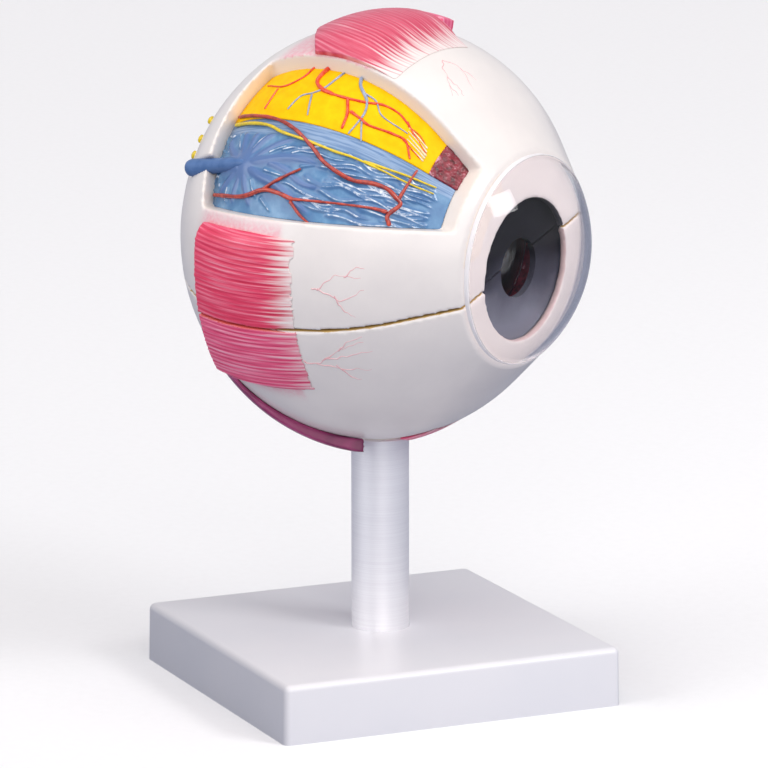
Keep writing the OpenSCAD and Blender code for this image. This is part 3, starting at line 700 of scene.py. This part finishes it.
def muscleBand(node, name, body, spot, finish, slant=0.0, fade=(0.55, 1.1), rounding=0, pitch=0.0,
          feather=(0, 0, 0)):   # feather: degrees at the front end, millimetres at the low and the high edge
    piece = remeshed(node, name, body, fibres["grid"], rounding or fibres["rounding"])
    points = eyePoints(piece)
    along, around, depth = polar(points)
    rear, front = spot["along"]
    low, high = spot["around"]
    radius = ringRadius(along)
    alongMm = arcLength(rear - along)
    # the fibres run straight at the angle called axis
    acrossMm = turnFrom(around, spot.get("axis", 0)) * math.radians(1) * radius + slant * alongMm
    if spot is oblique:                 # an oblique muscle's fibres follow its own length
        flat = np.stack([alongMm, acrossMm], 1)
        flat -= flat.mean(axis=0)
        length = np.linalg.eigh(flat.T @ flat)[1][:, 1]
        alongMm, acrossMm = flat @ length, flat @ np.array([-length[1], length[0]])
    waveLength, waveWidth, waveSize = fibres["wave"]
    wave = softNoise(np.stack([alongMm / waveLength, acrossMm / waveWidth, 0 * alongMm], 1), waveSize, 3.0)
    run = 2 * math.pi * acrossMm / (pitch or fibres["pitch"])
    ridge = 0.5 + 0.5 * np.sin(run + fibres["waver"] * wave)
    thin = smoothStep(0, 1, (along - front) / feather[0]) if feather[0] else np.ones(len(points))
    turn = turnFrom(around, (low + high) / 2)
    for reach, gap in ((feather[1], turn + (high - low) / 2), (feather[2], (high - low) / 2 - turn)):
        if reach:
            thin = thin * np.sqrt(smoothStep(-0.3, 1, gap * math.radians(1) * radius / reach))
    above = np.maximum(0, -depth)
    thin = fibres["film"] + (1 - fibres["film"]) * thin
    points -= outward(points) * (above * (1 - thin))[:, None]
    closeSeam(points)
    height = np.clip(above * thin - fibres["clear"], 0, 1)
    groove = fibres["obliqueGroove"] if spot is oblique else fibres["groove"]
    lift = groove * ridge * height * (0.8 + 0.4 * wave)
    points -= outward(points) * lift[:, None] * (np.abs(points[:, 2]) > fibres["seamClear"])[:, None]
    moveTo(piece, points)
    s = (rear - along) / (rear - front)
    paint(piece, "along", alongMm)
    paint(piece, "across", acrossMm)
    paint(piece, "ridge", ridge)
    paint(piece, "fade", s * 0 + fibres["obliqueFade"] if spot is oblique else smoothStep(*fade, s))
    paint(piece, "seam", fibres["seamTint"] * (np.abs(points[:, 2]) < fibres["seamPaint"]))
    assign(piece, node, finish)


bands = {   # node, body, place, finish, and what differs from the usual band
    "superiorRectusMuscle": ("superior_rectus", "eye_upper", muscles["superior_rectus"], "muscleRose",
          {"slant": 0.25, "fade": (0.55, 1.05), "feather": (16, 7, 0)}),
    "lateralRectusUpperMuscle": ("lateral_rectus_upper", "eye_upper", muscles["lateral_rectus"], "muscle",
          {"fade": (0.45, 0.98), "feather": (12, 0, 5)}),
    "lateralRectusLowerMuscle": ("lateral_rectus_lower", "eye_lower", muscles["lateral_rectus"],
          "muscleCrimson", {"fade": (0.3, 1.25), "feather": (4, 2, 0)}),
    "medialRectusUpperMuscle": ("medial_rectus_upper", "eye_upper", muscles["medial_rectus"], "muscle",
          {"feather": (12, 4, 0)}),
    "medialRectusLowerMuscle": ("medial_rectus_lower", "eye_lower", muscles["medial_rectus"], "muscleCrimson",
          {"feather": (12, 0, 4)}),
    "inferiorRectusMuscle": ("inferior_rectus", "eye_lower", muscles["inferior_rectus"], "muscleCrimson",
          {"feather": (12, 4, 4)}),
    "superiorObliqueMuscle": ("superior_oblique", "eye_upper", oblique, "muscleCrimson",
          {"rounding": 12, "pitch": 3.0}),
    "inferiorObliqueMuscle": ("inferior_oblique", "eye_lower", oblique, "muscleMaroon",
          {"rounding": 8, "pitch": 3.0}),
}
for name, (node, body, spot, finish, rest) in bands.items():
    muscleBand(node, name, body, spot, finish, **rest)
print("muscles made")


window = {
    "floorDepth": 5.0, "patchDepth": 4.4, "grid": 0.3, "rounding": 1, "border": 60.5, "hub": (107, 45),
    "relief": 0.8,
    "tributaries": [   # runs from the hub, with the width of the ridge in mm
        ([(107, 45), (110, 51), (112, 58)], 2.4), ([(107, 45), (102, 52), (96, 57)], 2.2),
        ([(107, 45), (116, 49), (121, 54)], 2.4), ([(107, 45), (113, 39), (117, 34)], 2.4),
        ([(107, 45), (103, 38), (98, 32)], 2.2), ([(107, 45), (97, 47), (86, 49), (74, 49)], 2.6),
        ([(107, 45), (98, 42), (89, 40), (80, 36), (74, 33)], 2.4), ([(107, 45), (115, 44), (121, 43)], 5.0),
        ([(104, 46), (95, 52), (88, 55)], 1.6), ([(98, 47), (88, 45), (80, 42), (72, 42)], 1.8),
        ([(107, 45), (106, 53), (104, 58.5)], 1.8), ([(106, 44), (108, 37), (108, 32)], 1.8),
    ],
    "trunkSlope": 3.2, "trunkTint": 1.6, "moundWidth": 4.5, "moundHeight": 1.3, "moundTint": 1.4,
    "gleams": [   # bold raised strokes across the trunks, with painted highlight along their crests
        [(105, 49), (102, 53), (99, 55)], [(97, 49), (93, 51), (89, 52.5)],
        [(92, 50.5), (88, 52), (84, 52.5)],
        [(101, 41), (99, 38), (96, 35)], [(95, 36), (92, 34), (89, 32)], [(112, 38), (112, 34), (111, 32)],
        [(111, 49), (114, 54), (115, 57)], [(88, 50), (84, 51.5), (80, 51.5)],
        [(97, 44), (92, 43.5), (87, 43)],
    ],
    "gleamWidth": 1.0, "gleamHeight": 0.75,
    "plainStrip": (54.5, 56.0), "torn": (115, 119), "tornHeight": 0.7,
}
streams = {   # thin wavy vessels on the blue floor, with ranges for the dice; places in degrees
    "seed": 7, "count": 52, "width": 1.1, "widths": (0.8, 1.3), "low": 32, "fan": 25,
    "start": (60, 101), "frontStart": (46, 62), "stop": 34, "length": (14, 30), "step": 1.2,
    "wave": (0.35, 1.2), "waveLength": (13, 24), "spreadFrom": 109, "spreadOver": 17,
    # pool: how much darker the blue is on the streams' flanks
    "height": 0.62, "overTrunk": 0.8, "flankDarkening": 2.4,
}


def floorRidges():   # they fan out forward from the hub
    dice = np.random.default_rng(streams["seed"])
    hubTurn = window["hub"][1]
    runs = []
    for k in range(streams["count"]):
        target = streams["low"] + streams["fan"] * (k + 0.5) / streams["count"]
        start = dice.uniform(*streams["start"]) if k % 3 else dice.uniform(*streams["frontStart"])
        stop = max(streams["stop"], start - dice.uniform(*streams["length"]))
        wave, phase = dice.uniform(*streams["wave"]), dice.uniform(0, 6.3)
        length = dice.uniform(*streams["waveLength"])
        along = np.arange(start, stop, -streams["step"])
        reach = 1 - np.exp(-(streams["spreadFrom"] - along) / streams["spreadOver"])
        around = hubTurn + (target - hubTurn) * reach + wave * np.sin(2 * math.pi * along / length + phase)
        runs.append((np.stack([along, around], 1), streams["width"] * dice.uniform(*streams["widths"])))
    return runs


def ridgeHeight(points, run, width):   # 0 to 1, by the distance from the nearest place on a run
    path = onGlobe(run[:, 0], run[:, 1], window["floorDepth"])
    best = np.full(len(points), 1e9)         # nearest distance, and how far along the run it is
    place = np.zeros(len(points))
    for i in range(len(path) - 1):
        a, d = path[i], path[i + 1] - path[i]
        t = np.clip((points - a) @ d / (d @ d), 0, 1)
        gap = np.linalg.norm(points - a - t[:, None] * d, axis=1)
        closer = gap < best
        best[closer] = gap[closer]
        place[closer] = ((i + t) / (len(path) - 1))[closer]
    taper = smoothStep(0, 0.12, place) * smoothStep(1, 0.8, place)
    return np.exp(-(best / (width * (0.65 - 0.3 * place))) ** 2) * taper


def makeChoroidFloor():
    piece = remeshed("choroid_window", "choroidFloor", "eye_upper", window["grid"], window["rounding"])
    points = eyePoints(piece)
    along, around, depth = polar(points)
    top = np.abs(depth - window["floorDepth"]) < 0.45
    face = points[top]
    height, vein, crest, groove = np.zeros((4, len(face)))
    for run, width in window["tributaries"]:
        bump = ridgeHeight(face, smoothRun(run, 6), width)
        height = np.maximum(height, bump * width / window["trunkSlope"])
        vein = np.maximum(vein, np.minimum(1, window["trunkTint"] * bump))
    fromHub = np.linalg.norm(face - onGlobe(*window["hub"], window["floorDepth"]), axis=1)
    mound = np.exp(-(fromHub / window["moundWidth"]) ** 2)
    height = np.maximum(height, window["moundHeight"] * mound)
    vein = np.maximum(vein, np.minimum(1, window["moundTint"] * mound))
    for run in window["gleams"]:
        bump = ridgeHeight(face, smoothRun(run, 5), window["gleamWidth"])
        height = np.maximum(height, window["gleamHeight"] * bump)
        # painted highlight along the stroke's crest
        crest = np.maximum(crest, bump ** 3)
    for run, width in floorRidges():
        bump = ridgeHeight(face, run, width) * (1 - streams["overTrunk"] * vein)
        height = np.maximum(height, streams["height"] * bump)
        # painted highlight along the stream's crest
        crest = np.maximum(crest, bump ** 5)
        # darker on the stream's flanks
        groove = np.maximum(groove, streams["flankDarkening"] * bump * (1 - bump))
    patches = smoothStep(0.0, 0.5, softNoise(face, 1.6, 8.0))
    torn = smoothStep(*window["torn"], along[top]) * patches * (1 - vein)     # bare casting at the rear edge
    height = np.maximum(height, window["tornHeight"] * torn)
    crest = np.maximum(crest, torn)
    flat = smoothStep(*window["plainStrip"], around[top])     # the plain strip beside the nerve
    height *= 1 - flat
    edge = smoothStep(0, 1.2, window["border"] - around[top])
    shift = window["floorDepth"] - depth[top]
    points[top] = face - outward(face) * (shift - window["relief"] * height * edge)[:, None]
    moveTo(piece, points)
    # groove holds the darker flanks, crest the painted highlight and the bare casting
    for name, values in (("vein", vein), ("groove", groove * (1 - flat)), ("crest", crest * (1 - flat)),
            ("strip", flat)):
        everywhere = np.zeros(len(points))
        everywhere[top] = values
        paint(piece, name, everywhere)
    paint(piece, "along", along)
    paint(piece, "across", around)
    assign(piece, "choroid_window", "blue")


makeChoroidFloor()
print("blue floor made")

# pale: degrees along the arc over which the painted highlight comes in
patch = {"lumps": ((0.35, 1.3, 0.0), (0.15, 0.6, 4.0)), "skin": 0.4, "pale": (38, 42)}   # height, size, seed


def makeRetinaFloor():
    piece = remeshed("retina_window", "retinaFloor", "eye_upper", window["grid"], window["rounding"])
    assign(piece, "retina_window", "yellow")
    piece = remeshed("ciliary_window", "ciliaryPatch", "eye_upper", window["grid"], window["rounding"])
    points = eyePoints(piece)
    along, around, depth = polar(points)
    lump = sum(height * softNoise(points, size, seed) for height, size, seed in patch["lumps"])
    top = depth < window["patchDepth"] + patch["skin"]
    points += outward(points) * (lump * top)[:, None]
    moveTo(piece, points)
    # painted highlight toward the patch's rear edge
    paint(piece, "pale", smoothStep(*patch["pale"], along))
    assign(piece, "ciliary_window", "maroon")


makeRetinaFloor()
print("yellow floor made")

# cords on the window's floor: depth of the middle, width, climb onto the retina, runs with both tips' taper
vessels = {
    "longCiliaryArtery": {
        "node": "long_ciliary_artery", "finish": "artery", "slot": "artery",
        "depth": 4.35, "width": 1.25, "climb": 0.3,
        "runs": [([(121, 62), (110, 61), (99, 60), (91, 58), (86, 56), (80, 53), (75, 50), (69, 48), (63, 47),
          (57, 48), (52, 48), (48, 46), (46, 44), (49, 39), (48, 36)], (0.9, 1.1)),
          ([(47, 46), (46, 52), (45, 59)], (0.9, 0.5))]},
    "shortCiliaryArtery": {
        "node": "short_ciliary_artery", "finish": "artery", "slot": "artery",
        "depth": 4.4, "width": 1.25, "climb": 0.3,
        "runs": [([(119, 34), (103, 35), (94, 38), (88, 38), (82, 37)], (1.1, 1.0)),
          ([(82, 37), (72, 38), (63, 39)], (0.7, 0.5)), ([(63, 39), (54, 40), (50, 40)], (0.5, 1.0)),
          ([(94, 38), (90, 41), (82, 46)], (1, 0.6)), ([(82, 36), (78, 33), (74, 31)], (0.8, 0.5))]},
    "longCiliaryNerve": {
        "node": "long_ciliary_nerve", "finish": "nerve", "slot": "nerve_cord",
        "depth": 4.4, "width": 1.15, "climb": 0.3,
        "runs": [([(121, 59), (103, 58), (94, 56), (84, 55), (73, 54), (66, 54), (56, 53.4), (49, 53),
          (43, 53), (37, 53.5)], (1, 0.4)),
          ([(62, 54), (54, 54.6), (47, 55.4), (41, 56), (37, 56.5)], (0.8, 0.4))]},
    "retinalArteries": {
        "finish": "red", "slot": "artery", "depth": 4.45, "width": 0.95,
        "runs": [([(93, 82), (93, 76), (89, 73), (84, 72)], (1.6, 1.2)),
          ([(84, 72), (79, 72), (72, 73), (66, 75), (60, 75), (55, 73)], (1, 0.6)),
          ([(78, 72), (75, 67), (74, 62)], (1.1, 0.9)),
          ([(74, 68), (70, 67), (66, 66), (58, 67), (53, 67), (49, 62)], (1.0, 0.6)),
          ([(99, 83), (100, 77), (106, 73), (116, 75)], (0.7, 0.5)), ([(108, 72), (108, 64)], (0.6, 0.5)),
          ([(56, 74), (52, 71), (48, 69), (45, 67)], (0.5, 0.35)),
          ([(54, 67), (50, 65.5), (46, 64)], (0.45, 0.3)), ([(55, 72.5), (50, 72), (46, 69.5)], (0.4, 0.3))]},
    "retinalVeins": {
        "finish": "grey", "slot": "vein", "depth": 4.45, "width": 0.75,
        "runs": [([(86, 81), (88, 74), (91, 71), (95, 69), (97, 64)], (0.9, 0.6)),
          ([(91, 70), (88, 63)], (0.8, 0.6)),
          ([(79, 81), (77, 78), (72, 74), (70, 70), (70, 66), (71, 61)], (1.5, 0.7)),
          ([(69, 66), (66, 60)], (0.8, 0.6)), ([(74, 76), (69, 75), (64, 71), (54, 70)], (0.8, 0.5))]},
    "retinalRays": {
        "finish": "cream", "slot": "nerve_cord", "depth": 4.5, "width": 0.9,
        "runs": [([(55, 72.5), (50, 71), (46, 69.5)], (0.3, 0.7)),
          ([(54, 71), (49, 69.5), (45.5, 68)], (0.3, 0.7)),
          ([(53, 69.5), (49, 68), (45, 66.5)], (0.3, 0.8)), ([(53, 68), (48, 66.5), (45, 65.3)], (0.3, 0.8)),
          ([(52, 66), (48, 65), (45, 64)], (0.3, 0.7))]},
}


def makeVessels():
    for name, kind in vessels.items():
        depth, width, climb = kind["depth"], kind["width"], kind.get("climb", 0)
        v, f = joined([surfaceRun(run, depth, width, tips, 0.25, climb) for run, tips in kind["runs"]])
        piece = newObject(name, toRow(v), f, "eye_upper")
        assign(piece, kind.get("node"), kind["finish"])


makeVessels()

vortexVein = {   # ends as along, around and depth; radii at millimetres from the foot
    "foot": (107, 45.2, 5.0), "tip": (134, 41.5, -1.5), "radii": ((0, 1.3), (8, 2.3), (20, 2.35), (27, 2.9)),
    "steps": 24, "swell": 0.05,
}


def makeVein():
    foot, tip = onGlobe(*vortexVein["foot"]), onGlobe(*vortexVein["tip"])
    length = np.linalg.norm(tip - foot)
    t = np.linspace(0, 1, vortexVein["steps"])
    places, sizes = zip(*vortexVein["radii"])
    size = np.interp(t * length, places, sizes) * (1 + vortexVein["swell"] * np.sin(9 * t + 1))
    reach = 1 - size[-1] / length              # the round end stays inside the solid's length
    run = foot + (tip - foot) * t[:, None] * reach
    v, f = tube(run, size, outward(run), sides=24)
    assign(newObject("vortexVeinTrunk", toRow(v), f, "eye_upper"), "vortex_vein", "vein")


makeVein()

capillaries = {   # hair-fine branching lines on the white
    "width": 0.42, "depth": 0.1, "waver": 0.9,
    "upper": [[(63, 101), (60, 98), (57, 96), (51, 91)], [(57, 96), (53, 96), (49, 95)],
          [(63, 101), (58, 104), (49, 101)], [(58, 104), (52, 106)], [(54, 93.5), (50, 93)],
          [(70, 13), (68, 13), (63, 17), (55, 17)], [(60, 17), (57, 20), (54, 20)],
          [(68, 13), (60, 10), (54, 13)], [(63, 11), (60, 6), (57, 4)]],
    "lower": [[(76, -10), (72, -11), (64, -7), (56, -5)], [(70, -10), (62, -9), (54, -9)],
          [(64, -7), (60, -4), (56, -3)], [(72, -11), (63, -14), (56, -16)],
          [(66, -12), (63, -17), (60, -19)]],
}


def makeCapillaries():
    for side in ("upper", "lower"):
        parts = []
        for run in capillaries[side]:
            line = smoothRun(run, 10)
            shake = softNoise(onGlobe(line[:, 0], line[:, 1]), 1.6, 2.0) * capillaries["waver"]
            shake[0] = shake[-1] = 0
            line[:, 1] += shake
            parts.append(surfaceRun(line[::2], capillaries["depth"], capillaries["width"], (1.0, 0.4), 0.4))
        v, f = joined(parts)
        piece = newObject("capillaries" + side.capitalize(), toRow(v), f, "eye_" + side)
        assign(piece, None, "capillary")


makeCapillaries()
print("vessels and nerves made")

dome = {   # millimetres
    "radius": 44.4, "wall": 2.0, "rimRadius": 31.6, "edge": 1.4, "round": 0.45, "foot": 0.2,
    "steps": 48, "turns": 160, "frosted": 0.25, "sharpFrom": 35,
}


def makeCornea():
    r, rim, c, foot = dome["radius"], dome["rimRadius"], dome["round"], dome["foot"]
    land, inside = eyeball["landX"], r - dome["wall"]
    centreX = land + dome["edge"] - math.sqrt(r * r - rim * rim)

    def arc(radius, start, end):
        angles = np.linspace(start, end, dome["steps"])
        return [(radius * math.sin(a), centreX + radius * math.cos(a)) for a in angles]

    outer = arc(r, 0, math.asin((rim - c) / r))
    corner = [(rim, outer[-1][1] - c), (rim, land + foot), (rim - foot, land)]
    inner = arc(inside, math.acos((land - centreX) / inside), 0)
    v, f = lathe(outer + corner + inner, dome["turns"])
    turned = np.stack([v[:, 2], v[:, 1], -v[:, 0]], 1)     # Z to the optical axis
    piece = newObject("corneaDome", toRow(turned), f, "eye_upper")
    weld(piece)
    piece.data.set_sharp_from_angle(angle=math.radians(dome["sharpFrom"]))
    points = eyePoints(piece)
    paint(piece, "rim", np.hypot(points[:, 1], points[:, 2]) > rim - dome["frosted"])
    assign(piece, "cornea", "cornea")


makeCornea()
print("cornea made")

finishes = {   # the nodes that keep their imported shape
    "base_pad": "felt", "base_screw": "steel", "base_washer": "steel", "thrust_washer": "nylon",
    "pivot_screw": "steel", "pivot_bush": "brass", "parting_pegs": "steel", "optic_nerve_lower": "opticNerve",
    "optic_nerve_upper": "opticNerve", "choroid_lower": "lining", "choroid_upper": "lining",
    "retina_lower": "retina", "retina_upper": "retina", "ciliary_body_lower": "maroon",
    "ciliary_body_upper": "maroon", "iris_lower": "iris", "iris_upper": "iris", "vitreous_body": "vitreous",
    "lens": "lens", "ciliary_nerve_stubs": "nerve",
}
for node, finish in finishes.items():
    dress(frame["nodes"][node], finish)
print("other nodes painted")

studio = {   # degrees and millimetres for the camera, metres for lamps and floor
    "azimuth": 66.0, "elevation": 12.2, "roll": -0.07, "distance": 1666.7, "aimHeight": 93.25,
    "aimShift": 1.2, "lens": 257.8, "sensor": 36, "clip": (0.05, 50),
    "softbox": {"azimuth": 122, "elevation": 34, "distance": 1.5, "size": (0.54, 0.38), "power": 8,
        "aimHeight": 0.11},
    "world": "#c9ccd6", "worldStrength": 0.55, "mirrorStrength": 1.0,
    "floorHalf": 12, "floor": ("#f7f7f8", "#f9f9fa"), "floorBounce": "#8c92a4", "floorGrain": 300.0,
}
suns = {   # azimuth, elevation, spread, strength, colour, and whether a flag keeps it off the base
    "overhead light": (50, 78, 60, 1.06, "#fff7f0", False),
    "front fill": (76, 22, 50, 0.98, "#fffaf6", False),
    "left fill": (2, 21, 50, 1.15, "#ffffff", True),
}


def direction(azimuth, elevation):
    a, e = math.radians(azimuth), math.radians(elevation)
    return Vector((math.sin(a) * math.cos(e), -math.cos(a) * math.cos(e), math.sin(e)))


def addCamera():
    back = direction(studio["azimuth"], studio["elevation"])
    a = math.radians(studio["azimuth"])
    right = Vector((math.cos(a), math.sin(a), 0))
    aim = (Vector((0, 0, studio["aimHeight"])) + right * studio["aimShift"]) * mm
    data = bpy.data.cameras.new("camera")
    data.lens, data.sensor_width = studio["lens"], studio["sensor"]
    data.clip_start, data.clip_end = studio["clip"]
    camera = bpy.data.objects.new("camera", data)
    up = back.cross(right)
    turn = Matrix((right, up, back)).transposed().to_4x4()
    turn = turn @ Matrix.Rotation(math.radians(studio["roll"]), 4, "Z")
    camera.matrix_world = Matrix.Translation(aim + back * studio["distance"] * mm) @ turn
    bpy.context.scene.collection.objects.link(camera)
    bpy.context.scene.camera = camera


def addLamp(name, kind, azimuth, elevation):   # a lamp that shines from that direction
    data = bpy.data.lights.new(name, kind)
    lamp = bpy.data.objects.new(name, data)
    lamp.matrix_world = direction(azimuth, elevation).to_track_quat("Z", "Y").to_matrix().to_4x4()
    bpy.context.scene.collection.objects.link(lamp)
    return lamp, data


def addSoftbox():
    box = studio["softbox"]
    lamp, data = addLamp("key softbox", "AREA", box["azimuth"], box["elevation"])
    data.shape, data.size, data.size_y = "RECTANGLE", *box["size"]
    data.energy = box["power"]
    aim = Vector((0, 0, box["aimHeight"]))
    lamp.matrix_world.translation = aim + direction(box["azimuth"], box["elevation"]) * box["distance"]


def addSuns():
    for name, (azimuth, elevation, spread, strength, colour, flagged) in suns.items():
        lamp, data = addLamp(name, "SUN", azimuth, elevation)
        data.angle, data.energy, data.color = math.radians(spread), strength, linear(colour)[:3]
        if flagged:
            lit = bpy.data.collections.new(name)
            for piece in bpy.data.objects:
                if piece.type == "MESH" and piece.name != "baseBlock":
                    lit.objects.link(piece)
            lamp.light_linking.receiver_collection = lit


def addFloor():
    size = studio["floorHalf"]
    mesh = bpy.data.meshes.new("studioFloor")
    corners = [(-size, -size, 0), (size, -size, 0), (size, size, 0), (-size, size, 0)]
    mesh.from_pydata(corners, [], [(0, 1, 2, 3)])
    floor = bpy.data.objects.new("studioFloor", mesh)
    bpy.context.scene.collection.objects.link(floor)
    material, add, place = newMaterial("matt white paper")
    grain = add("TexNoise", {"Vector": place, "Scale": studio["floorGrain"], "Detail": 2.0})
    low, high = studio["floor"]
    tone = add("ValToRGB", {"Fac": grain}, stops=[(0.3, low), (0.7, high)])
    seen = add("LightPath").outputs["Is Camera Ray"]      # a darker bounce keeps the underside grey
    colour = add("MixRGB", {"Fac": seen, "Color1": studio["floorBounce"], "Color2": tone})
    finishMaterial(add, colour=colour, rough=0.9)
    mesh.materials.append(material)


def addWorld():
    world = bpy.data.worlds.new("studio")
    bpy.context.scene.world = world
    world.use_nodes = True
    background = world.node_tree.nodes["Background"]
    background.inputs["Color"].default_value = linear(studio["world"])
    # gloss mirrors the bright walls of the light tent
    ray = addNode(world.node_tree, "LightPath").outputs["Is Glossy Ray"]
    strength = addNode(world.node_tree, "MapRange", {"Value": ray, "To Min": studio["worldStrength"],
            "To Max": studio["mirrorStrength"]})
    world.node_tree.links.new(strength.outputs[0], background.inputs["Strength"])


addCamera()
addSoftbox()
addFloor()         # before the suns, so that the flagged one reaches it
addSuns()
addWorld()
bpy.context.scene.view_settings.view_transform = "Standard"
print("studio made")
